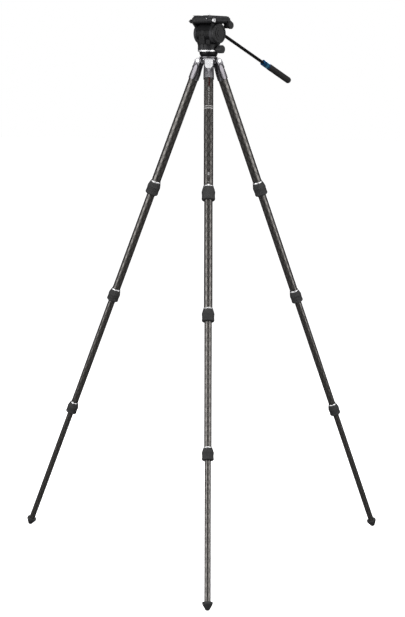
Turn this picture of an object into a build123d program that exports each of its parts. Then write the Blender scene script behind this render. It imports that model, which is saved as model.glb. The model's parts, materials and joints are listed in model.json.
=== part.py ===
"""A column-less carbon-fibre video tripod with a levelling ball and a compact fluid head."""
import os
from math import cos, radians, sin, sqrt

from build123d import *

# ---- driving dimensions, millimetres and degrees -------------------------------------------------
LEG_ANGLE = 22.46  # of a leg from the vertical, as it stands
HINGE_R = 28.0  # from the tripod's upright axis to a leg's hinge
LEGS = {"front": -90.0, "right": 30.0, "left": 150.0}  # azimuth of each leg
HEAD_AZIMUTH = -41.0  # of the tilt axis

TUBE_R = (14.0, 12.3, 10.6, 8.9)
TUBE_WALL = 1.2
TUBE_TOP = (34.0, 356.0, 714.0, 1112.0)  # distances down the leg from the hinge
LOCK_MID = (412.7, 776.7, 1175.6)
LOCK_LENGTH = (43.7, 40.0, 38.0)
LOCK_R = (20.1, 18.3, 17.3)
LOCK_CLEAR = 0.3
FOOT_TOP = 1583.1
FOOT_TIP = 1607.1
FOOT_TIP_R = 8.0
FOOT_RIM_R = 15.0
SLEEVE_R = 15.7  # lower end of a leg's casting
SLEEVE_END = 58.8
EAR_R = 8.5
LUG_HALF = 9.0
LUG_R = 8.5
EAR_HALF = 14.4
BLOCK_X = (-8.5, 11.4)  # the solid below the ears, inward and outward of the hinge
BOLT_R = 3.0

HINGE_Z = (FOOT_TIP - FOOT_TIP_R) * cos(radians(LEG_ANGLE)) + FOOT_TIP_R
BALL_Z = HINGE_Z + 27.0  # centre of the levelling ball
TILT_Z = BALL_Z + 52.3  # tilt axis
RIM_TOP = HINGE_Z + 11.3

BALL_R = 27.8
LINER_R = (28.05, 29.0)
CUP_R = (29.25, 31.0)
CLAMP_SPHERE_R = 40.0
STUD_R = 3.0
BASE_R = 32.3
RING_TOP = BALL_Z + 4.0

DRUM_TOP = BALL_Z + 21.4
BARREL_R = 30.4
BARREL_HALF = 24.0
CARTRIDGE_R = 19.9
SHAFT_R = 6.0
CHEEK = (24.5, 34.0)
CHEEK_R = 30.2
DIAL = (34.4, 42.5)
DIAL_R = 29.3

DECK_X = (-44.0, 48.0)  # the tilting platform, along the tilt axis and along the camera
DECK_Y = (-50.0, 58.0)
DECK_Z = (TILT_Z + 29.0, TILT_Z + 40.3)
CHANNEL_X = (-29.5, 31.5)
CHANNEL_Z = TILT_Z + 35.3
JAW_Y = (-22.0, 30.0)
LATCH_Y = (-41.0, -29.5)
LATCH_Z = (TILT_Z + 31.5, TILT_Z + 42.0)
PLATE_X = (-36.0, 42.0)
PLATE_Y = (-44.0, 57.0)
PLATE_TOP = TILT_Z + 51.8
PLATE_FOOT_X = (-28.9, 29.9)
SCREW_R = 3.175  # 1/4 inch camera screw
SCREW_ROOM = 8.3  # height of the plate's hollow for the screw's flange

CLAMP_AT = (36.0, TILT_Z + 24.5)
ARM_AT = (50.2, BALL_Z + 85.8)
ARM_X = -52.0
ARM_DROP = 22.4  # below the horizontal
ARM_TUBE_R = 5.0
COLLAR = (297.0, 330.0)  # along the arm from its pivot
COLLAR_R = 9.4
GRIP_R = 10.2
GRIP_END = 447.0
PAN_KNOB_Z = BALL_Z + 6.0


# ---- shape helpers -------------------------------------------------------------------------------
def box(x, y, z):
    """A box from its three (low, high) spans."""
    middle = [(low + high) / 2 for low, high in (x, y, z)]
    return Pos(*middle) * Box(x[1] - x[0], y[1] - y[0], z[1] - z[0])


def upright(radius, low, high, at=(0, 0)):
    """A cylinder along Z from low to high."""
    return Pos(at[0], at[1], (low + high) / 2) * Cylinder(radius, high - low)


def across(radius, low, high, at):
    """A cylinder along X from low to high, at the given (y, z)."""
    return Pos((low + high) / 2, *at) * Rot(0, 90, 0) * Cylinder(radius, high - low)


def sideways(radius, low, high, at=(0, 0)):
    """A cylinder along Y from low to high, at the given (x, z)."""
    return Pos(at[0], (low + high) / 2, at[1]) * Rot(90, 0, 0) * Cylinder(radius, high - low)


def turned(*points):
    """A solid of revolution about Z from (radius, z) points."""
    return revolve(Plane.XZ * make_face(Polyline(*points, close=True)), Axis.Z)


def prism_x(points, low, high):
    """A flat outline of (y, z) points, extruded along X from low to high."""
    outline = make_face(Plane.YZ * Polyline(*points, close=True))
    return Pos(low, 0, 0) * extrude(outline, high - low, dir=(1, 0, 0))


def group(pieces):
    """Separate solids kept together in one node."""
    return Compound([solid for piece in pieces for solid in piece.solids()])


def lobed(blank, radius, low, high, count, notch):
    """Cuts finger notches down the side of a round knob that stands along Z."""
    for index in range(count):
        turn = Rot(0, 0, 360 * index / count)
        blank -= turn * Pos(radius + notch * 0.55, 0, (low + high) / 2) * Cylinder(notch, high - low)
    return blank


def lying_knob(radius, low, high, at, count=8):
    """A lobed knob along X, whose outer end is at high."""
    length = high - low
    blank = Cylinder(radius, length)
    blank = chamfer(blank.edges().filter_by(GeomType.CIRCLE), 1.0)
    blank = lobed(blank, radius, -length / 2, length / 2, count, radius * 0.22)
    return Pos((low + high) / 2, *at) * Rot(0, 90, 0) * blank


# ---- the tripod's top ----------------------------------------------------------------------------
def leg_turn(name):
    return Rot(0, 0, LEGS[name])


def spider():
    rim = upright(27.5, RIM_TOP - 2.0, RIM_TOP)
    cup = Pos(0, 0, BALL_Z) * Sphere(CUP_R[1]) & upright(27.5, HINGE_Z - 6, RIM_TOP)
    hub = upright(19.0, HINGE_Z - 14, HINGE_Z + 2)
    body = rim + cup + hub
    for name in LEGS:
        arm = box((12, HINGE_R), (-LUG_HALF, LUG_HALF), (HINGE_Z - LUG_R, HINGE_Z + LUG_R))
        end = sideways(LUG_R, -LUG_HALF, LUG_HALF, (HINGE_R, HINGE_Z))
        body += leg_turn(name) * (arm + end)
    body -= Pos(0, 0, BALL_Z) * Sphere(CUP_R[0])
    body -= upright(10.6, HINGE_Z - 20, HINGE_Z + 6)
    body -= upright(27.6, HINGE_Z - 20, HINGE_Z - 5) - Pos(0, 0, BALL_Z) * Sphere(CLAMP_SPHERE_R)
    for name in LEGS:
        body -= leg_turn(name) * sideways(BOLT_R, -12, 12, (HINGE_R, HINGE_Z))
    accessory = Rot(0, 0, 90) * Pos(22.0, 0, HINGE_Z) * Rot(0, 90, 0)
    boss = accessory * Cylinder(6.5, 14)
    hole = accessory * Pos(0, 0, 2) * Cylinder(SCREW_R, 14)
    cavity = Pos(0, 0, BALL_Z) * Sphere(CUP_R[0] + 0.8)
    return body + (boss - cavity) - hole


def hinge_bolts():
    bolts = []
    for name in LEGS:
        pin = sideways(BOLT_R, -15.0, 15.0, (HINGE_R, HINGE_Z))
        for side in (-1, 1):
            ends = sorted((side * (EAR_HALF + 0.2), side * (EAR_HALF + 2.2)))
            pin += sideways(5.0, *ends, (HINGE_R, HINGE_Z))
            socket = sorted((side * (EAR_HALF + 1.0), side * (EAR_HALF + 3.0)))
            pin -= sideways(2.0, *socket, (HINGE_R, HINGE_Z))
        bolts.append(leg_turn(name) * pin)
    return group(bolts)


def level_liner():
    shell = Sphere(LINER_R[1]) - Sphere(LINER_R[0])
    return Pos(0, 0, BALL_Z) * (shell & upright(30, -24.0, -16.0))


def level_ball():
    ball = Pos(0, 0, BALL_Z) * Sphere(BALL_R) & upright(30, BALL_Z - 23, BALL_Z - 1)
    return ball + upright(STUD_R, BALL_Z - 80, BALL_Z - 20)


def level_washer():
    washer = upright(14.0, BALL_Z - 46, BALL_Z - 36) - Pos(0, 0, BALL_Z) * Sphere(CLAMP_SPHERE_R + 0.3)
    return washer - upright(STUD_R + 0.05, BALL_Z - 50, BALL_Z - 30)


def level_knob():
    top = BALL_Z - 46.3
    end = BALL_Z - 92.0
    knob = turned(
        (0, top), (8.0, top), (8.0, top - 8), (11.0, top - 14), (11.0, end + 3), (9.5, end), (0, end)
    )
    knob = lobed(knob, 11.0, end - 1, top - 13, 6, 2.6)
    return knob - upright(STUD_R + 0.1, BALL_Z - 81, top + 1)


def base_ring():
    ring = upright(BASE_R, BALL_Z - 1, RING_TOP)
    return chamfer(ring.edges().filter_by(GeomType.CIRCLE), 0.7)


def pan_cartridge():
    return upright(20.0, RING_TOP, RING_TOP + 12) + upright(5.0, RING_TOP + 12, RING_TOP + 16)


# ---- the fluid head ------------------------------------------------------------------------------
def pan_housing():
    low = RING_TOP + 0.35
    drum = upright(BASE_R, low, DRUM_TOP)
    drum = fillet(drum.edges().filter_by(GeomType.CIRCLE).sort_by(Axis.Z)[-1], 2.0)
    neck = box((-BARREL_HALF, BARREL_HALF), (-24, 24), (DRUM_TOP - 1.5, TILT_Z))
    barrel = across(BARREL_R, -BARREL_HALF, BARREL_HALF, (0, TILT_Z))
    barrel = chamfer(barrel.edges().filter_by(GeomType.CIRCLE), 0.6)
    strap = box((-17, 7), (-29.8, 0), (DRUM_TOP - 3, TILT_Z - 7))
    strap = fillet(strap.edges().filter_by(Axis.Z).sort_by(Axis.Y)[:2], 4.0)
    strap += box((-17, 7), (-40, 0), (low, DRUM_TOP - 1)) & upright(34.0, low, DRUM_TOP - 1)
    badge = sideways(6.5, -BARREL_R - 0.5, -20, (0, TILT_Z + 2))
    knob_boss = across(9.0, 20, 37, (0, PAN_KNOB_Z)) & box((0, 40), (-20, 20), (low, DRUM_TOP - 2))
    knob_lip = across(9.0, BASE_R + 0.8, 37, (0, PAN_KNOB_Z))
    vial_boss = upright(8.5, BALL_Z + 8, DRUM_TOP - 0.8, (-8, 35))
    body = drum + neck + barrel + strap + badge + knob_boss + knob_lip + vial_boss
    body -= across(CARTRIDGE_R + 0.05, -30, 30, (0, TILT_Z))
    body -= upright(20.4, low - 1, RING_TOP + 12.4)
    body -= upright(5.05, low - 1, RING_TOP + 16.4)
    body -= upright(6.0, BALL_Z + 14, DRUM_TOP + 1, (-8, 35))
    return body - across(3.1, BASE_R + 1.4, 40, (0, PAN_KNOB_Z))


def level_vial():
    return upright(5.95, BALL_Z + 14, DRUM_TOP, (-8, 35))


def pan_lock_knob():
    at = (0, PAN_KNOB_Z)
    return lying_knob(12.0, 39.0, 54.0, at, 7) + across(3.0, BASE_R + 2.0, 40.0, at)


def tilt_cartridges():
    halves = []
    for low, high in ((8.5, 23.5), (-23.5, -8.5)):
        disc = across(CARTRIDGE_R, low, high, (0, TILT_Z))
        halves.append(disc - across(SHAFT_R + 0.05, low - 1, high + 1, (0, TILT_Z)))
    return group(halves)


def counterbalance_spring():
    coils = [Pos(x, 0, TILT_Z) * Rot(0, 90, 0) * Torus(12.0, 1.6) for x in (-6.0, -2.0, 2.0, 6.0)]
    return group(coils)


def tilt_shaft():
    return across(SHAFT_R, -CHEEK[1] + 0.5, CHEEK[1] - 0.5, (0, TILT_Z))


def deck():
    plate = box(DECK_X, DECK_Y, DECK_Z)
    plate = chamfer(plate.edges().filter_by(Axis.Z), 10.0)
    plate = chamfer(plate.faces().sort_by(Axis.Z)[0].edges(), 5.0)
    plate = chamfer(plate.faces().sort_by(Axis.Z)[-1].edges(), 4.0)
    plate -= box(CHANNEL_X, (-60, 60), (CHANNEL_Z, DECK_Z[1] + 1))
    plate -= box((CHANNEL_X[1] - 1, 60), (JAW_Y[0] - 0.5, JAW_Y[1] + 0.5), (CHANNEL_Z, DECK_Z[1] + 1))
    latch_y = (LATCH_Y[0] - 0.4, LATCH_Y[1] + 0.4)
    plate -= box((DECK_X[1] - 2.8, 60), latch_y, (LATCH_Z[0] - 0.3, DECK_Z[1] + 1))
    plate -= across(BARREL_R + 1.9, -CHEEK[0], CHEEK[0], (0, TILT_Z))
    return plate - across(DIAL_R + 0.6, DIAL[0] - 0.3, 60, (0, TILT_Z))


def tilt_platform():
    body = deck()
    for side in (-1, 1):
        span = sorted((side * CHEEK[0], side * CHEEK[1]))
        body += across(CHEEK_R, *span, (0, TILT_Z))
        body += box(span, (-19, 19), (TILT_Z, DECK_Z[0] + 1))
    under = DECK_Z[0]
    gusset = [(-38, under + 1), (-37, under), (-23, TILT_Z + 16), (0, TILT_Z + 16), (0, under + 1)]
    body += prism_x(gusset, -CHEEK[1], -CHEEK[0])
    clamp_boss = box((34.5, 46.5), (27, 46), (TILT_Z + 15.5, DECK_Z[0] + 4))
    body += chamfer(clamp_boss.edges().filter_by(Axis.X).sort_by(Axis.Z)[:2], 5.0)
    body -= across(DIAL_R + 0.6, DIAL[0] - 0.3, 60, (0, TILT_Z))
    body += across(8.6, -46.0, -36.6, ARM_AT)
    body -= across(SHAFT_R, -40, 40, (0, TILT_Z))
    body -= across(4.1, 36, 50, CLAMP_AT)
    return body - across(3.6, -50, -38, ARM_AT)


def drag_dial():
    dial = across(DIAL_R, *DIAL, (0, TILT_Z))
    dial = chamfer(dial.edges().filter_by(GeomType.CIRCLE).sort_by(Axis.X)[-1], 2.0)
    groove = across(22.5, DIAL[1] - 1.6, DIAL[1] + 1, (0, TILT_Z))
    groove -= across(19.0, DIAL[0], DIAL[1] + 2, (0, TILT_Z))
    hub = across(11.0, DIAL[1] - 1.0, DIAL[1] + 1.6, (0, TILT_Z))
    return dial - groove + hub


def tilt_lock_lever():
    hub = across(13.0, -43.0, -34.4, (0, TILT_Z))
    blade = Pos(-40.0, 0, TILT_Z) * Rot(-30, 0, 0) * Pos(0, 23, 0) * Box(6.0, 34.0, 10.0)
    return hub + fillet(blade.edges().filter_by(Axis.X), 3.0)


def clamp_jaw():
    jaw = box((30.3, DECK_X[1] - 1.6), JAW_Y, (CHANNEL_Z + 0.3, DECK_Z[1]))
    jaw = chamfer(jaw.edges().filter_by(Axis.Z), 1.5)
    return chamfer(jaw.faces().sort_by(Axis.Z)[-1].edges().sort_by(Axis.X)[-1], 2.6)


def clamp_knob():
    return lying_knob(11.0, 48.6, 57.0, CLAMP_AT, 7) + across(4.0, 37.0, 50.0, CLAMP_AT)


def plate_latch():
    latch = box((DECK_X[1] - 0.2, DECK_X[1] + 2.6), LATCH_Y, LATCH_Z)
    latch = chamfer(latch.edges().filter_by(Axis.X), 2.0)
    thumb_y = (LATCH_Y[0] + 3.5, LATCH_Y[1] - 3.5)
    thumb = box((DECK_X[1] + 1.4, 60), thumb_y, (LATCH_Z[0] + 3.2, LATCH_Z[1] + 1))
    return latch - thumb


def camera_plate():
    foot = box(PLATE_FOOT_X, PLATE_Y, (CHANNEL_Z + 0.2, DECK_Z[1] + 1))
    top = box(PLATE_X, PLATE_Y, (DECK_Z[1] + 0.4, PLATE_TOP - 1.0))
    top = chamfer(top.edges().filter_by(Axis.Z), 9.0)
    top = chamfer(top.faces().sort_by(Axis.Z)[-1].edges(), 6.0)
    body = foot + top
    body -= Pos(0, 0, CHANNEL_Z + 7) * extrude(SlotOverall(56, 7.0, rotation=90), 14)
    return body - Pos(0, 0, CHANNEL_Z) * extrude(SlotOverall(70, 19.0, rotation=90), SCREW_ROOM)


def plate_pads():
    pads = []
    for low, high in ((-30.0, -9.0), (9.0, 32.0)):
        pads.append(box((low, high), (-38, 44), (PLATE_TOP - 1.0, PLATE_TOP)))
    return group(pads)


def camera_screw():
    flange = (CHANNEL_Z + 1.0, CHANNEL_Z + SCREW_ROOM - 0.5)
    neck = upright(3.4, flange[1], PLATE_TOP - 1.0)
    return upright(9.0, *flange) + neck + upright(SCREW_R, flange[1], PLATE_TOP + 5.5)


# ---- the pan arm ---------------------------------------------------------------------------------
def along_arm(piece):
    """Moves a piece that stands on Z at the origin to the arm's pivot, pointing along the arm."""
    return Pos(ARM_X, *ARM_AT) * Rot(-90 - ARM_DROP, 0, 0) * piece


def arm_clamp():
    rosette = across(10.5, -58.0, -46.4, ARM_AT)
    link = along_arm(upright(8.5, 0, 16)) & box((-58.0, -46.4), (0, 100), (0, 2000))
    socket = along_arm(upright(8.5, 13, 36))
    bore = across(3.6, -60, -40, ARM_AT)
    return rosette + link + socket - along_arm(upright(ARM_TUBE_R + 0.02, 12, 40)) - bore


def arm_tube():
    end = COLLAR[1] + 20
    return along_arm(upright(ARM_TUBE_R, 12.05, end) - upright(ARM_TUBE_R - 1.2, 14, end - 1))


def arm_collar():
    ring = chamfer(upright(COLLAR_R, *COLLAR).edges().filter_by(GeomType.CIRCLE), 1.0)
    return along_arm(ring - upright(ARM_TUBE_R + 0.02, 200, 400))


def arm_grip():
    grip = upright(GRIP_R, COLLAR[1], GRIP_END)
    grip = fillet(grip.edges().filter_by(GeomType.CIRCLE).sort_by(Axis.Z)[-1], 8.0)
    return along_arm(grip - upright(ARM_TUBE_R + 0.02, 200, COLLAR[1] + 20))


def arm_knob():
    knob = lying_knob(10.0, -71.0, -58.4, ARM_AT, 7)
    return knob + across(3.5, -59.0, -40.0, ARM_AT)


# ---- a leg, hanging along -Z from its hinge, with X outward ---------------------------------------
def shield(grow, low, high):
    """The outline of the angle tab, grown on every side."""
    half = 12.0 + grow
    top = -1.5 + grow
    lower = [(-half, -20.5), (-9.3 - grow, -26.5 - grow / 2), (-4.5 - grow / 2, -30.3 - grow)]
    mirrored = [(-y, z) for y, z in reversed(lower)]
    return prism_x([(half, top), (-half, top), *lower, *mirrored], low, high)


def shoulder():
    sleeve = upright(SLEEVE_R, -SLEEVE_END, -40)
    depth = BLOCK_X[1] + 10.0
    waist = loft([
        Pos(0, 0, -40) * Circle(SLEEVE_R),
        Pos(BLOCK_X[1] - depth / 2, 0, -12) * RectangleRounded(depth, 2 * EAR_HALF, 6.0),
    ])
    block = box(BLOCK_X, (-EAR_HALF, EAR_HALF), (-12, 0))
    block = chamfer(block.edges().filter_by(Axis.Z), 1.5)
    ears = sideways(EAR_R, -EAR_HALF, EAR_HALF)
    body = sleeve + waist + block + ears
    body -= box((-20, LUG_R + 0.6), (-LUG_HALF - 0.4, LUG_HALF + 0.4), (-LUG_R - 0.6, 20))
    body -= shield(1.2, BLOCK_X[1], 30)
    body -= box((5, 20), (-7.3, 7.3), (-8.3, -3.5))
    body -= upright(TUBE_R[0] + 0.03, -80, -TUBE_TOP[0])
    return body - sideways(BOLT_R + 0.05, -20, 20)


def angle_tab():
    plate = shield(0, BLOCK_X[1] + 0.2, BLOCK_X[1] + 2.2)
    plate = chamfer(plate.faces().sort_by(Axis.X)[-1].edges(), 0.6)
    return plate + box((LUG_R + 0.9, BLOCK_X[1] + 1), (-6.8, 6.8), (-7.8, -4.0))


def tube(index):
    """One leg section; each inner one carries a guide bush at its top."""
    outer = TUBE_R[index]
    end = LOCK_MID[index] + 4.0 if index < 3 else FOOT_TOP + 8.0
    body = upright(outer, -end, -TUBE_TOP[index]) - upright(outer - TUBE_WALL, -end - 1, 0)
    pieces = [body]
    if index:
        bush = upright(outer + 0.3, -TUBE_TOP[index] - 31, -TUBE_TOP[index] - 1)
        pieces.append(bush - upright(outer, -2000, 0))
    if index < 3:
        collet = upright(outer, -end - 9, -end)
        pieces.append(collet - upright(TUBE_R[index + 1] + 0.15, -2000, 0))
    return group(pieces)


def lock(index):
    """A twist lock: a knurled sleeve over the end of one section and the start of the next."""
    length = LOCK_LENGTH[index]
    widest = LOCK_R[index]
    top = -(LOCK_MID[index] - length / 2)
    neck = TUBE_R[index] + 1.4
    body = turned(
        (0, top), (neck, top), (neck + 0.9, top - 0.14 * length), (widest, top - 0.42 * length),
        (widest - 0.6, top - 0.56 * length), (widest - 0.9, top - 0.76 * length),
        (widest - 0.2, top - 0.88 * length),
        (widest - 1.2, top - 0.96 * length), (widest - 3.6, top - length), (0, top - length))
    seat = -(LOCK_MID[index] + 4.0 + 9.0 + 0.4)
    body -= upright(TUBE_R[index] + LOCK_CLEAR, seat, top + 1)
    return body - upright(TUBE_R[index + 1] + LOCK_CLEAR, top - length - 1, seat + 1)


def foot():
    tip = FOOT_TIP - FOOT_TIP_R
    rim = -FOOT_TOP
    cone = turned((0, rim), (FOOT_RIM_R - 0.8, rim), (FOOT_RIM_R, rim - 3), (FOOT_RIM_R - 0.6, rim - 7),
                  (FOOT_TIP_R + 1.4, -tip + 0.5), (sqrt(FOOT_TIP_R**2 - 3.0**2), -tip - 3.0), (0, -tip - 3.0))
    body = cone + Pos(0, 0, -tip) * Sphere(FOOT_TIP_R)
    return body - upright(TUBE_R[3] + 0.03, rim - 8.1, rim + 1)


def leg_parts():
    parts = {"shoulder": shoulder(), "angle_tab": angle_tab(), "foot": foot()}
    for index in range(4):
        parts[f"tube_{index + 1}"] = tube(index)
    for index in range(3):
        parts[f"lock_{index + 1}"] = lock(index)
    return parts


def leg_place(name):
    """Puts the upright leg frame at its hinge, leaning out."""
    return Rot(0, 0, LEGS[name]) * Pos(HINGE_R, 0, HINGE_Z) * Rot(0, -LEG_ANGLE, 0)


# ---- writing -------------------------------------------------------------------------------------
TRIPOD_TOP = (spider, hinge_bolts, level_liner, level_ball, level_washer, level_knob, base_ring)
HEAD = (
    pan_cartridge, pan_housing, level_vial, pan_lock_knob, tilt_cartridges, counterbalance_spring, tilt_shaft,
    tilt_platform, drag_dial, tilt_lock_lever, clamp_jaw, clamp_knob, plate_latch, camera_plate, plate_pads,
    camera_screw, arm_clamp, arm_tube, arm_collar, arm_grip, arm_knob,
)


def main():
    os.makedirs("parts", exist_ok=True)
    for make in TRIPOD_TOP:
        export_step(make(), f"parts/{make.__name__}.step")
    for make in HEAD:
        export_step(Rot(0, 0, HEAD_AZIMUTH) * make(), f"parts/{make.__name__}.step")
    upright_leg = leg_parts()
    for name in LEGS:
        for kind, piece in upright_leg.items():
            export_step(leg_place(name) * piece, f"parts/{name}_{kind}.step")


main()
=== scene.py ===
"""Looks for the video tripod: materials, knurled grips, trim, studio light and camera."""
import json
from math import cos, pi, radians, sin, sqrt

import bpy
from mathutils import Matrix, Vector


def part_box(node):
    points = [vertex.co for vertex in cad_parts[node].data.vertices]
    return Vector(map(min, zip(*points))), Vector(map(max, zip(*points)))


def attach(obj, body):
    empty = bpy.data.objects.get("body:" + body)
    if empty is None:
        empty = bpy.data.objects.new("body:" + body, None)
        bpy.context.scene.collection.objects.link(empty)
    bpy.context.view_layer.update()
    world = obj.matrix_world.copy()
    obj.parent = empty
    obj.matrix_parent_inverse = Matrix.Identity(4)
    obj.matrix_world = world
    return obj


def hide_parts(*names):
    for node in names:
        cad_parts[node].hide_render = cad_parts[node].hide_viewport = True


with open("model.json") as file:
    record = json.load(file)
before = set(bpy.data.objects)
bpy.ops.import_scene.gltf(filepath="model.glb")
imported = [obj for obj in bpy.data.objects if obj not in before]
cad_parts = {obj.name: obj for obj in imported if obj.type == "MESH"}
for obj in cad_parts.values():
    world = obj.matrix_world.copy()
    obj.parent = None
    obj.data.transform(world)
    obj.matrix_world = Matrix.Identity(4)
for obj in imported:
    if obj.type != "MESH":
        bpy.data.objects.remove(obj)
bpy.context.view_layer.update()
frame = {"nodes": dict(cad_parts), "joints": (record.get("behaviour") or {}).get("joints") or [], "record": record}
NODES = frame["nodes"]
JOINTS = {joint["name"]: joint for joint in frame["joints"]}
LEGS = ("front", "right", "left")
MM = 0.001
TOW = 2.4 * MM  # length of one row of the carbon weave, along the tube
TOWS_AROUND = 36
BRAID = 27.0 * MM  # the large braid that shows through the clear coat
BRAIDS_AROUND = 6
FACET_HIGHLIGHT_ANGLE = 92.0  # the painted highlight on the shoulder's leaf-shaped facet, degrees round from the leg's outer side
FACET_HIGHLIGHT_HALF = 35.0  # degrees to each side
FACET_HIGHLIGHT_MIDDLE = -35.0 * MM  # down the leg from its hinge
FACET_HIGHLIGHT_LENGTH = 46.0 * MM
FACET_HIGHLIGHT_RIM = 1.35  # how far the black outline reaches, where the leaf's own edge is 1
EDGE_START = 0.53  # the pointiness at which an edge starts to look rubbed
EDGE_GAIN = 9.0
SHARP_ANGLE = 35.0  # degrees between two faces, past which their edge is shaded sharp

# spans in millimetres, measured on the part's own axes
COLLAR_HIGHLIGHT = (312.0, 321.0)  # a painted highlight round the collar, along the pan bar from its pivot
LIGHT_BANDS = ((-156.0, -152.5), (-148.5, -146.0))  # down the leg from its hinge, as the next three are
TICKS = (-142.0, -90.0)
STRIP = (-86.0, -60.0)
DASHES = ((-389.0, -386.5), (-382.0, -380.5), (-362.0, -353.0))
TICK_PITCH = 5.0
COLUMN_WIDTH = (-2.6, 2.6)  # across the leg, for the ticks and dashes
STRIP_WIDTH = (-1.2, 3.4)


# ---- places, read from the frame -----------------------------------------------------------------
def leg_matrix(leg):
    """The leg's own axes: Z up the leg, X outward, origin at its hinge."""
    up = -Vector(JOINTS[f"{leg}_section_2"]["axis"])
    side = -Vector(JOINTS[f"{leg}_leg_spread"]["axis"])
    out = side.cross(up)
    turn = Matrix((out, side, up)).transposed()
    return Matrix.Translation(JOINTS[f"{leg}_leg_spread"]["pos_m"]) @ turn.to_4x4()


def head_matrix():
    """The head's own axes: X along the tilt axis, Y to the operator, Z up, origin on the tilt axis."""
    side = Vector(JOINTS["head_tilt"]["axis"])
    up = Vector((0, 0, 1))
    turn = Matrix((side, up.cross(side), up)).transposed()
    return Matrix.Translation(JOINTS["head_tilt"]["pos_m"]) @ turn.to_4x4()


HEAD = head_matrix()


def arm_matrix():
    """The pan arm's own axes: Z along the arm, origin at its pivot, X along the tilt axis."""
    low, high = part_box("arm_grip")
    middle = (low + high) / 2
    pivot = Vector(JOINTS["arm_swing"]["pos_m"])
    side = Vector(JOINTS["arm_swing"]["axis"])
    along = middle - pivot
    along = (along - side * along.dot(side)).normalized()
    turn = Matrix((side, along.cross(side), along)).transposed()
    return Matrix.Translation(pivot) @ turn.to_4x4()


ARM = arm_matrix()


def spans(node, matrix):
    """The node's lowest and highest corners along a set of axes, in metres."""
    inverse = matrix.inverted()
    points = [inverse @ vertex.co for vertex in NODES[node].data.vertices]
    low = Vector([min(p[i] for p in points) for i in range(3)])
    high = Vector([max(p[i] for p in points) for i in range(3)])
    return low, high


# ---- node materials ------------------------------------------------------------------------------
class Tree:
    """A small helper that adds nodes to a material and links them."""

    def __init__(self, name):
        self.material = bpy.data.materials.new(name)
        self.material.use_nodes = True
        self.nodes = self.material.node_tree.nodes
        self.links = self.material.node_tree.links
        self.shader = self.nodes["Principled BSDF"]
        coordinates = self.nodes.new("ShaderNodeTexCoord")
        self.place = coordinates.outputs["Object"]

    def set(self, **values):
        for key, value in values.items():
            self.shader.inputs[key.replace("_", " ")].default_value = value
        return self

    def link(self, source, target):
        self.links.new(source, target)

    def local(self, matrix):
        """Object coordinates turned into another set of axes."""
        inverse = matrix.inverted()
        mapping = self.nodes.new("ShaderNodeMapping")
        mapping.inputs["Location"].default_value = inverse.translation
        mapping.inputs["Rotation"].default_value = inverse.to_euler("XYZ")
        self.link(self.place, mapping.inputs["Vector"])
        self.place = mapping.outputs["Vector"]
        return self

    def noise(self, scale, detail=4.0, roughness=0.6, where=None):
        node = self.nodes.new("ShaderNodeTexNoise")
        node.inputs["Scale"].default_value = scale
        node.inputs["Detail"].default_value = detail
        node.inputs["Roughness"].default_value = roughness
        self.link(where or self.place, node.inputs["Vector"])
        return node.outputs["Fac"]

    def voronoi(self, scale, where=None):
        node = self.nodes.new("ShaderNodeTexVoronoi")
        node.inputs["Scale"].default_value = scale
        self.link(where or self.place, node.inputs["Vector"])
        return node.outputs["Distance"]

    def math(self, operation, a, b=0.0):
        node = self.nodes.new("ShaderNodeMath")
        node.operation = operation
        for socket, value in zip(node.inputs, (a, b)):
            if isinstance(value, (int, float)):
                socket.default_value = value
            else:
                self.link(value, socket)
        return node.outputs[0]

    def ramp(self, source, *stops):
        """A colour ramp; each stop is (place, colour or grey)."""
        node = self.nodes.new("ShaderNodeValToRGB")
        band = node.color_ramp
        while len(band.elements) < len(stops):
            band.elements.new(0.5)
        for element, (place, colour) in zip(band.elements, stops):
            element.position = place
            grey = isinstance(colour, (int, float))
            element.color = (colour, colour, colour, 1) if grey else (*colour, 1)
        self.link(source, node.inputs["Fac"])
        return node.outputs["Color"]

    def mix(self, factor, a, b, blend="MIX"):
        node = self.nodes.new("ShaderNodeMix")
        node.data_type = "RGBA"
        node.blend_type = blend
        for name, value in (("Factor", factor), ("A", a), ("B", b)):
            socket = node.inputs[name]
            if isinstance(value, (int, float)):
                socket.default_value = value
            elif isinstance(value, tuple):
                socket.default_value = (*value, 1)
            else:
                self.link(value, socket)
        return node.outputs["Result"]

    def axes(self):
        node = self.nodes.new("ShaderNodeSeparateXYZ")
        self.link(self.place, node.inputs["Vector"])
        return node.outputs

    def vector(self, x, y, z):
        node = self.nodes.new("ShaderNodeCombineXYZ")
        for socket, value in zip(node.inputs, (x, y, z)):
            if isinstance(value, (int, float)):
                socket.default_value = value
            else:
                self.link(value, socket)
        return node.outputs["Vector"]

    def colour(self, source):
        self.link(source, self.shader.inputs["Base Color"])
        return self

    def rough(self, source, low, high):
        node = self.nodes.new("ShaderNodeMapRange")
        node.inputs["To Min"].default_value = low
        node.inputs["To Max"].default_value = high
        self.link(source, node.inputs["Value"])
        self.link(node.outputs["Result"], self.shader.inputs["Roughness"])
        return self

    def bump(self, source, depth, strength=1.0):
        node = self.nodes.new("ShaderNodeBump")
        node.inputs["Distance"].default_value = depth
        node.inputs["Strength"].default_value = strength
        self.link(source, node.inputs["Height"])
        self.link(node.outputs["Normal"], self.shader.inputs["Normal"])
        return self


def edge_wear(tree, amount):
    """Rubbed edges: a mask that is bright on convex corners, broken up by noise."""
    geometry = tree.nodes.new("ShaderNodeNewGeometry")
    edges = tree.math("SUBTRACT", geometry.outputs["Pointiness"], EDGE_START)
    edges = tree.math("MULTIPLY", edges, EDGE_GAIN)
    patches = tree.math("MULTIPLY", edges, tree.noise(220.0))
    return tree.math("MULTIPLY", patches, amount)


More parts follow.
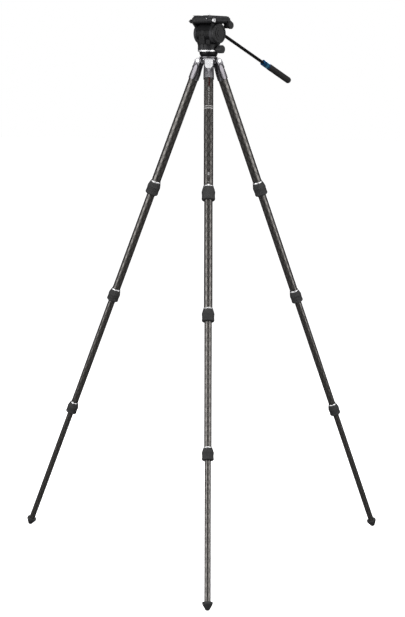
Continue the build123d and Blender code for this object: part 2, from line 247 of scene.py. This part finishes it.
def painted_black():
    """Fine-textured black paint on castings."""
    tree = Tree("black_casting")
    grain = tree.noise(1500.0, 3.0, 0.5)
    cloud = tree.noise(28.0, 4.0, 0.6)
    base = tree.ramp(cloud, (0.3, (0.003, 0.003, 0.0033)), (0.75, (0.007, 0.007, 0.008)))
    tree.colour(tree.mix(edge_wear(tree, 0.7), base, (0.09, 0.09, 0.095)))
    tree.rough(tree.math("ADD", grain, tree.math("MULTIPLY", cloud, 0.4)), 0.22, 0.42)
    tree.bump(grain, 0.00012, 0.55)
    return tree.set(Specular_IOR_Level=0.16).material


def moulded(name, dark, light, grain_scale=2200.0, low=0.4, high=0.65):
    """Moulded plastic with a fine grain."""
    tree = Tree(name)
    grain = tree.voronoi(grain_scale)
    cloud = tree.noise(40.0)
    tree.colour(tree.ramp(cloud, (0.3, dark), (0.8, light)))
    tree.rough(tree.noise(120.0), low, high)
    tree.bump(grain, 0.00006, 0.5)
    return tree.material


def rubber(name, dark, light, scale=900.0):
    """Rubber with dust in its texture."""
    tree = Tree(name)
    dust = tree.noise(scale, 5.0, 0.7)
    cloud = tree.noise(60.0)
    base = tree.ramp(cloud, (0.3, dark), (0.8, light))
    dusty = tree.ramp(dust, (0.55, 0.0), (0.85, 0.25))
    tree.colour(tree.mix(dusty, base, (0.1, 0.097, 0.094)))
    tree.rough(dust, 0.55, 0.85)
    tree.bump(dust, 0.00008, 0.6)
    return tree.set(Specular_IOR_Level=0.45).material


def metal(name, colour, low, high, brushed=None, coat=0.0):
    """Metal with blasting marks, or with brush marks where brushed gives their rate along each axis."""
    tree = Tree(name)
    cloud = tree.noise(70.0, 4.0, 0.6)
    darker = tuple(0.82 * channel for channel in colour)
    tree.colour(tree.ramp(cloud, (0.25, darker), (0.75, colour)))
    if brushed:
        stretched = [tree.math("MULTIPLY", axis, rate) for axis, rate in zip(tree.axes(), brushed)]
        marks = tree.noise(1.0, 3.0, 0.6, tree.vector(*stretched))
    else:
        marks = tree.noise(2400.0, 3.0, 0.6)
    tree.rough(tree.math("ADD", marks, tree.math("MULTIPLY", cloud, 0.3)), low, high)
    tree.bump(marks, 0.00004, 0.45)
    return tree.set(Metallic=1.0, Coat_Weight=coat).material


def casting_grey(name):
    """Bead-blasted, hard-anodised casting with rubbed edges: the tree and its colour."""
    tree = Tree(name)
    grain = tree.noise(2600.0, 3.0, 0.6)
    cloud = tree.noise(35.0, 4.0, 0.6)
    base = tree.ramp(cloud, (0.25, (0.085, 0.082, 0.089)), (0.8, (0.15, 0.145, 0.155)))
    tree.rough(grain, 0.3, 0.5)
    tree.bump(grain, 0.00004, 0.25)
    tree.set(Metallic=0.85)
    return tree, tree.mix(edge_wear(tree, 0.8), base, (0.4, 0.4, 0.41))


def titanium_grey():
    """The casting's grey without a pattern."""
    tree, base = casting_grey("titanium_grey")
    return tree.colour(base).material


def shoulder_grey_facet_highlight(leg):
    """The same casting with a leaf-shaped facet, outlined in black, on each side; the facet's paler colour is a
    painted highlight.
    """
    tree, base = casting_grey(f"titanium_grey_{leg}")
    x, y, z = tree.local(leg_matrix(leg)).axes()
    angle = tree.math("ABSOLUTE", tree.math("ARCTAN2", y, x))
    across = tree.math("DIVIDE", tree.math("SUBTRACT", angle, radians(FACET_HIGHLIGHT_ANGLE)), radians(FACET_HIGHLIGHT_HALF))
    down = tree.math("DIVIDE", tree.math("SUBTRACT", z, FACET_HIGHLIGHT_MIDDLE), FACET_HIGHLIGHT_LENGTH / 2)
    # the leaf is widest below its middle, so its sides are drawn in towards its top
    across = tree.math("MULTIPLY", across, tree.math("ADD", 1.15, tree.math("MULTIPLY", down, 0.35)))
    distance = tree.math("ADD", tree.math("MULTIPLY", across, across), tree.math("MULTIPLY", down, down))
    rim = tree.mix(tree.math("LESS_THAN", distance, FACET_HIGHLIGHT_RIM), base, (0.012, 0.011, 0.012))
    # painted highlight: the leaf is coloured paler than the casting, standing for the light on the facet
    leaf = tree.ramp(tree.noise(60.0), (0.25, (0.19, 0.18, 0.195)), (0.8, (0.27, 0.26, 0.28)))
    return tree.colour(tree.mix(tree.math("LESS_THAN", distance, 1.0), rim, leaf)).material


def carbon(leg, with_marks):
    """Clear-coated twill of carbon tows with a large braid showing through, and printed marks on one leg."""
    tree = Tree(f"carbon_{leg}").local(leg_matrix(leg))
    x, y, z = tree.axes()
    turn = tree.math("DIVIDE", tree.math("ARCTAN2", y, x), 2 * pi)
    around = tree.math("MULTIPLY", turn, TOWS_AROUND)
    along = tree.math("DIVIDE", z, TOW)
    u = tree.math("ADD", around, along)
    v = tree.math("SUBTRACT", along, around)
    # twill: which of the two tows is on top steps along by one tow in each row
    row = tree.math("ADD", tree.math("FLOOR", v), tree.math("FLOOR", u))
    phase = tree.math("FRACT", tree.math("MULTIPLY", row, 0.25))
    on_top = tree.math("GREATER_THAN", phase, 0.45)
    height = tree.mix(on_top, tree.math("PINGPONG", v, 0.5), tree.math("PINGPONG", u, 0.5))
    long_way = tree.vector(tree.math("MULTIPLY", u, 0.22), tree.math("MULTIPLY", v, 0.05), 0.0)
    cross_way = tree.vector(tree.math("MULTIPLY", u, 0.05), tree.math("MULTIPLY", v, 0.3), 3.0)
    streak = tree.noise(1.0, 3.0, 0.65, long_way)
    patch = tree.noise(1.0, 4.0, 0.7, cross_way)
    shade = tree.math("MULTIPLY", tree.math("ADD", streak, patch), 0.5)
    left_tow = tree.ramp(shade, (0.38, (0.1, 0.094, 0.088)), (0.62, (0.135, 0.127, 0.119)))
    right_tow = tree.ramp(shade, (0.35, (0.108, 0.102, 0.095)), (0.66, (0.15, 0.142, 0.133)))
    weave = tree.mix(on_top, left_tow, right_tow)
    # the braid: bands that wind both ways and leave a chain of diamonds
    wide = tree.math("MULTIPLY", turn, BRAIDS_AROUND)
    tall = tree.math("DIVIDE", z, BRAID)
    one = tree.math("PINGPONG", tree.math("ADD", wide, tall), 0.5)
    other = tree.math("PINGPONG", tree.math("SUBTRACT", tall, wide), 0.5)
    band = tree.ramp(tree.math("MULTIPLY", tree.math("MINIMUM", one, other), 2.0), (0.04, 0.45), (0.5, 1.0))
    base = tree.mix(1.0, weave, band, blend="MULTIPLY")
    if with_marks:
        base = leg_marks(tree, base, x, y, z)
    tree.colour(base)
    tree.rough(tree.math("ADD", tree.math("MULTIPLY", height, 0.5), shade), 0.15, 0.28)
    tree.bump(height, 0.00004, 0.12)
    return tree.set(Metallic=0.7, Specular_IOR_Level=0.4, Coat_Weight=0.15, Coat_Roughness=0.2).material


def between(tree, value, span):
    """1 where value, in metres, lies in a span given in millimetres."""
    low, high = span
    above = tree.math("GREATER_THAN", value, low * MM)
    below = tree.math("LESS_THAN", value, high * MM)
    return tree.math("MULTIPLY", above, below)


def leg_marks(tree, base, x, y, z):
    """Plain printed marks on the front leg: light bands, a strip, a column of ticks, and dashes below it."""
    outer_side = tree.math("GREATER_THAN", x, 0.0)
    paint = base
    for band in LIGHT_BANDS:
        paint = tree.mix(between(tree, z, band), paint, (0.55, 0.54, 0.53))
    column = tree.math("MULTIPLY", between(tree, y, COLUMN_WIDTH), outer_side)
    rising = tree.math("FRACT", tree.math("MULTIPLY", z, 1 / (TICK_PITCH * MM)))
    ticks = tree.math("MULTIPLY", tree.math("GREATER_THAN", rising, 0.72), between(tree, z, TICKS))
    paint = tree.mix(tree.math("MULTIPLY", ticks, column), paint, (0.5, 0.49, 0.48))
    strip = tree.math("MULTIPLY", between(tree, z, STRIP), between(tree, y, STRIP_WIDTH))
    strip = tree.math("MULTIPLY", strip, outer_side)
    paint = tree.mix(strip, paint, (0.045, 0.012, 0.01))
    for span in DASHES:
        dash = tree.math("MULTIPLY", between(tree, z, span), column)
        paint = tree.mix(dash, paint, (0.6, 0.59, 0.58))
    return paint


def anodised_blue():
    """Bright-turned blue anodising, with a paler band round the collar that is a painted highlight."""
    tree = Tree("blue_metal").local(ARM)
    cloud = tree.noise(50.0)
    marks = tree.noise(1800.0)
    z = tree.axes()["Z"]
    base = tree.ramp(cloud, (0.3, (0.008, 0.12, 0.36)), (0.8, (0.02, 0.24, 0.6)))
    # painted highlight: a pale cyan band round the collar
    band = between(tree, z, COLLAR_HIGHLIGHT)
    tree.colour(tree.mix(band, base, (0.12, 0.62, 0.95)))
    tree.rough(marks, 0.16, 0.3)
    tree.bump(marks, 0.00003, 0.4)
    return tree.set(Metallic=1.0, Coat_Weight=0.6, Coat_Roughness=0.08).material


def vial_glass():
    """The bubble vial, yellow-green and partly clear."""
    tree = Tree("vial")
    cloud = tree.noise(90.0)
    tree.colour(tree.ramp(cloud, (0.3, (0.55, 0.75, 0.12)), (0.8, (0.75, 0.9, 0.3))))
    tree.rough(cloud, 0.03, 0.08)
    return tree.set(Transmission_Weight=0.6, IOR=1.49, Coat_Weight=0.5).material


BLACK_CASTING = painted_black()
BLACK_PLASTIC = moulded("black_plastic", (0.006, 0.006, 0.0065), (0.013, 0.013, 0.014))
GRIP_RUBBER = rubber("grip_foam", (0.006, 0.0055, 0.0055), (0.013, 0.012, 0.012), 1500.0)
LOCK_RUBBER = rubber("lock_rubber", (0.016, 0.016, 0.0165), (0.036, 0.0355, 0.0355))
PAD_RUBBER = rubber("pad_rubber", (0.02, 0.02, 0.021), (0.04, 0.04, 0.041))
TITANIUM = titanium_grey()
SILVER = metal("silver", (0.88, 0.88, 0.885), 0.36, 0.52, brushed=(60.0, 60.0, 2600.0))
STEEL = metal("steel", (0.55, 0.55, 0.56), 0.1, 0.22)
TAB_SILVER = metal("tab_silver", (0.62, 0.62, 0.63), 0.3, 0.45)
SPRING = metal("spring_steel", (0.45, 0.45, 0.46), 0.25, 0.4)
ARM_BLACK = metal("arm_black", (0.03, 0.028, 0.027), 0.25, 0.4, coat=0.1)
BLUE = anodised_blue()
LINER = moulded("liner", (0.6, 0.59, 0.55), (0.72, 0.71, 0.67))
VIAL = vial_glass()

SLOT_MATERIAL = {
    "titanium_grey": TITANIUM, "black_casting": BLACK_CASTING, "silver": SILVER, "steel": STEEL,
    "tab_silver": TAB_SILVER, "rubber": LOCK_RUBBER, "grip_foam": GRIP_RUBBER, "black_plastic": BLACK_PLASTIC,
    "blue_metal": BLUE, "arm_tube": ARM_BLACK, "liner": LINER, "spring_steel": SPRING, "vial": VIAL,
    "pad": PAD_RUBBER,
}


def paint_nodes():
    """Gives every CAD node its finish."""
    slots = {part["node"]: part["material_slot"] for part in frame["record"]["subparts"]}
    tubes = {leg: carbon(leg, leg == "front") for leg in LEGS}
    castings = {leg: shoulder_grey_facet_highlight(leg) for leg in LEGS}
    for name, node in NODES.items():
        leg, _, kind = name.partition("_")
        material = SLOT_MATERIAL.get(slots[name])
        if slots[name] == "carbon":
            material = tubes[leg]
        elif kind == "shoulder":
            material = castings[leg]
        node.data.materials.clear()
        node.data.materials.append(material)


# ---- modelled detail -----------------------------------------------------------------------------
def piece(name, verts, faces, matrix, body, material, smooth=True):
    """A mesh piece from points in millimetres on the given axes."""
    mesh = bpy.data.meshes.new(name)
    mesh.from_pydata([tuple(matrix @ (Vector(v) * MM)) for v in verts], [], faces)
    mesh.validate()
    mesh.update()
    mesh.materials.append(material)
    if smooth:
        mesh.shade_smooth()
    obj = bpy.data.objects.new(name, mesh)
    bpy.context.scene.collection.objects.link(obj)
    if smooth:
        sharp_by_angle(obj)
    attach(obj, body)
    return obj


def sharp_by_angle(obj):
    """Marks the edges at which two faces meet at more than SHARP_ANGLE."""
    mesh = obj.data
    normals = [face.normal.copy() for face in mesh.polygons]
    owners = {}
    for face in mesh.polygons:
        for key in face.edge_keys:
            owners.setdefault(key, []).append(face.index)
    limit = cos(radians(SHARP_ANGLE))
    for edge in mesh.edges:
        shared = owners.get(edge.key, [])
        edge.use_edge_sharp = len(shared) == 2 and normals[shared[0]].dot(normals[shared[1]]) < limit


def lathe(profile, steps, relief=None):
    """A closed loop of (radius, z) turned about Z; relief(angle, radius, z) moves a point in or out."""
    verts = []
    count = len(profile)
    for step in range(steps):
        angle = 2 * pi * step / steps
        for radius, z in profile:
            r = radius + (relief(angle, radius, z) if relief else 0.0)
            verts.append((r * cos(angle), r * sin(angle), z))
    faces = []
    for step in range(steps):
        following = (step + 1) % steps
        for index in range(count):
            after = (index + 1) % count
            faces.append((step * count + index, following * count + index,
                          following * count + after, step * count + after))
    return verts, faces


def along_profile(points, spacing):
    """Adds points to a polyline so that they lie about a spacing apart."""
    fine = []
    for (r0, z0), (r1, z1) in zip(points, points[1:]):
        pieces = max(1, int(sqrt((r1 - r0) ** 2 + (z1 - z0) ** 2) / spacing + 0.5))
        for index in range(pieces):
            share = index / pieces
            fine.append((r0 + (r1 - r0) * share, z0 + (z1 - z0) * share))
    return fine + [points[-1]]


LOCK_SHAPE = (  # share of the lock's length from its top, and how far inside its widest radius
    (0.085, 4.2), (0.12, 3.7), (0.2, 2.6), (0.42, 0.05), (0.46, 0.1), (0.56, 0.6), (0.66, 0.8), (0.76, 0.9),
    (0.84, 0.45), (0.88, 0.2), (0.93, 0.5), (0.96, 1.25), (0.99, 2.6),
)
RING_SHAPE = (  # how far outside the tube, and share of the lock's length from its top
    (0.35, 0.082), (0.35, 0.005), (0.9, 0.0), (1.2, 0.01), (1.6, 0.045), (1.3, 0.052), (1.3, 0.06),
    (1.65, 0.067), (1.65, 0.082),
)
LOCK_GAP = 0.3  # between the sleeve's bore and a tube
KNURL_SPAN = (0.24, 0.92)  # shares of the lock's length
KNURLS_AROUND = 18
KNURL_ROWS = 9
KNURL_DEPTH = 1.0
KNURL_FADE = 2.0  # the length at each end over which the knurl dies away
GROOVE_SLOPE = 2.1
GROOVE_FLOOR = 1.35  # more than 1, so that the grooves have a flat floor


def knurled_lock(leg, index):
    """A twist lock's rubber sleeve with a diamond knurl, and its bright top ring."""
    axes = leg_matrix(leg)
    node = f"{leg}_lock_{index}"
    low, high = spans(node, axes)
    top = high.z / MM
    length = (high.z - low.z) / MM
    bottom = top - length
    widest = (high.y - low.y) / 2 / MM
    outer_tube = spans(f"{leg}_tube_{index}", axes)[1].y / MM
    inner_tube = spans(f"{leg}_tube_{index + 1}", axes)[1].y / MM
    outline = along_profile([(widest - inset, top - share * length) for share, inset in LOCK_SHAPE], 0.7)
    wide_bore = outer_tube + LOCK_GAP
    narrow_bore = inner_tube + LOCK_GAP
    outline += [(widest - 3.4, bottom), (narrow_bore, bottom), (narrow_bore, bottom + 5),
                (wide_bore, bottom + 6), (wide_bore, top - LOCK_SHAPE[0][0] * length)]
    start, end = [top - share * length for share in KNURL_SPAN]

    def knurl(angle, radius, z):
        if not end < z < start or radius < outer_tube + 1:
            return 0.0
        u = angle / (2 * pi) * KNURLS_AROUND
        v = (start - z) / (start - end) * KNURL_ROWS * 0.5
        ridge = abs(((u + v) % 1) - 0.5) + abs(((u - v) % 1) - 0.5)
        fade = min(1.0, (start - z) / KNURL_FADE, (z - end) / KNURL_FADE)
        groove = min(1.0, max(0.0, GROOVE_FLOOR - GROOVE_SLOPE * (1 - ridge)))
        return -KNURL_DEPTH * fade * groove

    verts, faces = lathe(outline, 156, knurl)
    sleeve = piece(f"{node}_sleeve", verts, faces, axes, node, LOCK_RUBBER)
    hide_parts(node)
    ring = [(outer_tube + out, top - share * length) for out, share in RING_SHAPE]
    verts, faces = lathe(ring, 96)
    piece(f"{node}_ring", verts, faces, axes, node, SILVER)


GRIP_BORE = 5.1
GRIP_BORE_DEPTH = 30
GRIP_AXIS_GAP = 0.3  # the outline stays this far from the axis
GRIP_DOME = 8  # radius of the rounded end
GRIP_SINK = 0.05  # inside the CAD's surface
GRIP_EDGE = 3  # length of the rounded edge at the collar
GRIP_EDGE_AND_DOME = 14  # length without the steps: the edge, the dome and a little more
GRIP_STEP = 2.0  # between two points of the straight side
GRIP_PLAIN = (4, 12)  # lengths without flutes, at the collar and at the rounded end
GRIP_FLUTES = 30
GRIP_RING_PITCH = 4.0
GRIP_RELIEF = 0.35
GRIP_RELIEF_FADE = 3.0


def ribbed_grip():
    """The pan bar's rubber grip with fine flutes and rings, and a rounded end."""
    low, high = spans("arm_grip", ARM)
    start, end = low.z / MM, high.z / MM
    radius = (high.x - low.x) / 2 / MM
    skin = radius - GRIP_SINK
    straight = start + GRIP_EDGE  # from here on the side is straight
    count = int((end - start - GRIP_EDGE_AND_DOME) / GRIP_STEP)
    outline = [(GRIP_BORE, start), (radius - 1.2, start), (radius - 0.2, start + 1.2), (skin, straight)]
    outline += [(skin, straight + GRIP_STEP * i) for i in range(1, count)]
    outline = along_profile(outline, 1.0)
    steps = 10
    for i in range(steps + 1):
        turn = pi / 2 * i / steps
        out, up = (GRIP_DOME - GRIP_SINK) * cos(turn), GRIP_DOME * sin(turn)
        outline.append((radius - GRIP_DOME + out, end - GRIP_DOME + up))
    bore_end = start + GRIP_BORE_DEPTH
    outline += [(GRIP_AXIS_GAP, end), (GRIP_AXIS_GAP, bore_end), (GRIP_BORE, bore_end)]
    flutes_start, flutes_end = start + GRIP_PLAIN[0], end - GRIP_PLAIN[1]

    def flutes(angle, r, z):
        if r < radius - 1 or z < flutes_start or z > flutes_end:
            return 0.0
        ring = 0.5 + 0.5 * cos(2 * pi * (z - start) / GRIP_RING_PITCH)
        flute = 0.5 + 0.5 * cos(GRIP_FLUTES * angle)
        fade = min(1.0, (z - flutes_start) / GRIP_RELIEF_FADE, (flutes_end - z) / GRIP_RELIEF_FADE)
        return -GRIP_RELIEF * fade * max(ring * 0.5, flute)

    verts, faces = lathe(outline, 180, flutes)
    grip = piece("grip_sleeve", verts, faces, ARM, "arm", GRIP_RUBBER)
    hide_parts("arm_grip")


SOCKET = 0.45  # the socket's size, as a share of the head's radius
SCREW_SHAPE = (  # share of the head's radius, and height: up the socket, over the head and down its side
    (SOCKET, 0.2), (SOCKET, 0.95), (0.75, 1.05), (0.94, 0.9), (1.0, 0.55), (1.0, -0.6),
)
SCREW_AXIS_GAP = 0.05


def socket_screw(name, matrix, body, radius):
    """A small socket-head screw standing on the matrix's XY plane, with a chamfer and a socket."""
    floor, foot = SCREW_SHAPE[0][1], SCREW_SHAPE[-1][1]
    outline = [(share * radius, z) for share, z in SCREW_SHAPE]
    outline += [(SCREW_AXIS_GAP, foot), (SCREW_AXIS_GAP, floor)]

    def hexagon(angle, r, z):
        if r > 0.5 * radius or r < 0.1:
            return 0.0
        part = ((angle / (pi / 3)) % 1 - 0.5) * pi / 3
        return r * (cos(pi / 6) / cos(part) - 1)

    verts, faces = lathe(outline, 36, hexagon)
    return piece(name, verts, faces, matrix, body, STEEL)


def facing(matrix, at, toward):
    """Axes at a point given in millimetres on the matrix's axes, with Z toward a direction there."""
    turn = Vector(toward).to_track_quat("Z", "Y").to_matrix().to_4x4()
    return matrix @ Matrix.Translation(Vector(at) * MM) @ turn


CHEEK_SCREWS = ((-34.0, -12, 22), (-34.0, 12, 22))  # (x, y, z) on the head's axes
CHEEK_SCREW_RADIUS = 2.3
STOP_SCREW = (27, 42.7)  # across the head and above the tilt axis
STOP_SCREW_RADIUS = 1.6
STOP_SCREW_DEPTH = 0.9


def head_screws():
    """Two screws on one cheek, and a stop screw at each end of the camera plate."""
    for number, place in enumerate(CHEEK_SCREWS):
        axes = facing(HEAD, place, (-1, 0, 0))
        socket_screw(f"cheek_screw_{number}", axes, "platform", CHEEK_SCREW_RADIUS)
    low, high = spans("camera_plate", HEAD)
    x, z = STOP_SCREW
    for number, (end, side) in enumerate(((low.y / MM, -1), (high.y / MM, 1))):
        axes = facing(HEAD, (x, end - side * STOP_SCREW_DEPTH, z), (0, side, 0))
        socket_screw(f"plate_stop_{number}", axes, "camera_plate", STOP_SCREW_RADIUS)


RIBS = 3
RIB_HEIGHT = 41.8  # of the lowest rib above the tilt axis
RIB_PITCH = 1.1
RIB_ENDS = (-24.0, 20.0)  # across the head
RIB_FOOT = (1.0, 0.4)  # inside the plate's end, and half the rib's width there
RIB_CREST = (0.02, 0.25)


def plate_ribs():
    """The fine ribs across the plate's two ends."""
    low, high = spans("camera_plate", HEAD)
    for end, y, sign in (("front", low.y / MM, -1), ("rear", high.y / MM, 1)):
        verts, faces = [], []
        foot, crest = y - sign * RIB_FOOT[0], y - sign * RIB_CREST[0]
        for number in range(RIBS):
            z = RIB_HEIGHT + RIB_PITCH * number
            base = len(verts)
            for x in RIB_ENDS:
                verts += [(x, foot, z - RIB_FOOT[1]), (x, crest, z - RIB_CREST[1])]
                verts += [(x, crest, z + RIB_CREST[1]), (x, foot, z + RIB_FOOT[1])]
            for k in range(4):
                after = (k + 1) % 4
                faces.append((base + k, base + after, base + 4 + after, base + 4 + k))
            faces += [(base + 3, base + 2, base + 1, base), (base + 4, base + 5, base + 6, base + 7)]
        piece(f"plate_ribs_{end}", verts, faces, HEAD, "camera_plate", BLACK_CASTING,
              smooth=False)


# ---- studio --------------------------------------------------------------------------------------
def soft_light(name, place, target, size, power):
    """A rectangular area light that faces a target; metres and watts."""
    data = bpy.data.lights.new(name, "AREA")
    data.shape = "RECTANGLE"
    data.size, data.size_y = size
    data.energy = power
    obj = bpy.data.objects.new(name, data)
    obj.location = place
    obj.rotation_euler = (Vector(target) - Vector(place)).to_track_quat("-Z", "Y").to_euler()
    bpy.context.scene.collection.objects.link(obj)


def backdrop():
    """White behind the object, and a dim room for it to reflect."""
    world = bpy.data.worlds.new("studio")
    world.use_nodes = True
    nodes, links = world.node_tree.nodes, world.node_tree.links
    seen = nodes.new("ShaderNodeLightPath").outputs["Is Camera Ray"]
    shade = nodes.new("ShaderNodeMix")
    shade.data_type = "RGBA"
    shade.inputs["A"].default_value = (0.13, 0.13, 0.135, 1)
    shade.inputs["B"].default_value = (1, 1, 1, 1)
    links.new(seen, shade.inputs["Factor"])
    links.new(shade.outputs["Result"], nodes["Background"].inputs["Color"])
    bpy.context.scene.world = world


def studio():
    """The white floor, the backdrop and four soft boxes."""
    floor_tree = Tree("studio_floor")
    cloud = floor_tree.noise(0.7)
    floor_tree.colour(floor_tree.ramp(cloud, (0.2, 0.88), (0.8, 0.9)))
    floor_tree.set(Roughness=0.9, Specular_IOR_Level=0.1, Emission_Color=(1, 1, 1, 1), Emission_Strength=1.0)
    mesh = bpy.data.meshes.new("floor")
    reach = 40.0
    corners = [(-reach, -reach, 0), (reach, -reach, 0), (reach, reach, 0), (-reach, reach, 0)]
    mesh.from_pydata(corners, [], [(0, 1, 2, 3)])
    mesh.materials.append(floor_tree.material)
    ground = bpy.data.objects.new("floor", mesh)
    bpy.context.scene.collection.objects.link(ground)
    # the camera sees the floor, but it neither lights the object nor shows in its reflections
    ground.visible_diffuse = False
    ground.visible_glossy = False
    backdrop()
    soft_light("left_box", (-2.5, -1.85, 1.55), (0, 0, 1.3), (3.2, 2.8), 94)
    soft_light("right_box", (2.5, -1.85, 1.55), (0, 0, 1.3), (3.2, 2.8), 84)
    soft_light("top_box", (0, -0.8, 3.6), (0, 0, 1.4), (1.6, 1.6), 38)
    soft_light("rear_box", (0.4, 3.2, 2.2), (0, 0, 1.0), (2.4, 2.0), 40)
    bpy.context.scene.view_settings.view_transform = "Standard"


def camera():
    """The viewpoint, fitted to the photograph: 5.4 m away and 1.42 m up, looking down a little."""
    distance, height = 5.415, 1.4221
    pitch, roll = radians(7.116), radians(0.584)
    swing = radians(-1.13)  # round the object
    yaw = radians(-0.11)  # of the view, from where the camera stands
    data = bpy.data.cameras.new("camera")
    data.sensor_width = 36.0
    data.sensor_fit = "AUTO"
    data.lens = 105.74
    obj = bpy.data.objects.new("camera", data)
    forward = Vector((sin(yaw) * cos(pitch), cos(yaw) * cos(pitch), -sin(pitch)))
    right = Vector((cos(yaw), -sin(yaw), 0))
    up = right.cross(forward)
    tilted_right = right * cos(roll) + up * sin(roll)
    tilted_up = up * cos(roll) - right * sin(roll)
    turn = Matrix((tilted_right, tilted_up, -forward)).transposed().to_4x4()
    obj.matrix_world = Matrix.Rotation(swing, 4, "Z") @ Matrix.Translation((0, -distance, height)) @ turn
    bpy.context.scene.collection.objects.link(obj)
    bpy.context.scene.camera = obj


paint_nodes()
for leg_name in LEGS:
    for lock_index in (1, 2, 3):
        knurled_lock(leg_name, lock_index)
ribbed_grip()
head_screws()
plate_ribs()
studio()
camera()
